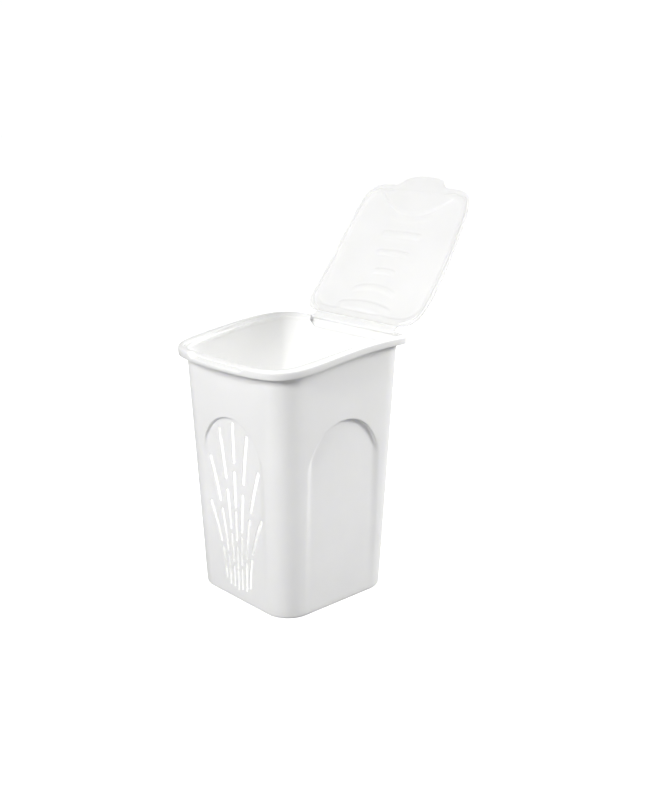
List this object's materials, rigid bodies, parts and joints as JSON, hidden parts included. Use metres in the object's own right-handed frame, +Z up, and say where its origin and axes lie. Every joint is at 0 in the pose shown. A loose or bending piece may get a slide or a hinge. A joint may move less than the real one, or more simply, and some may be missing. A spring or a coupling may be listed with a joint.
{
  "type": "laundry hamper with lid",
  "caption": "Tall tapered plastic laundry hamper with arched panels, air slots in the front and a hinged lid that lifts by a tab.",
  "frame": {"origin": "centre of the tub's flat base, on the surface it stands on", "axes": "+Z up, -Y towards the front with the air slots and the lid's tab, +X towards the hamper's side on the right of the view along +Y; the lid stands open over the back, +Y"},
  "size_m": [0.381, 0.6123, 0.8541],
  "materials": {
    "tub": "white polypropylene, satin",
    "rim_collar": "white polypropylene, satin",
    "lid": "white polypropylene, satin, slightly translucent where thin"
  },
  "bodies": {
    "hamper": {"tub": "tub", "rim_collar": "rim_collar"},
    "lid": {"lid": "lid"}
  },
  "joints": [
    {"name": "lid_hinge", "type": "hinge", "parent": "hamper", "child": "lid", "pos_m": [0, 0.175, 0.5506], "axis": [-1, 0, 0], "range_deg": [-131.4, 0]}
  ]
}
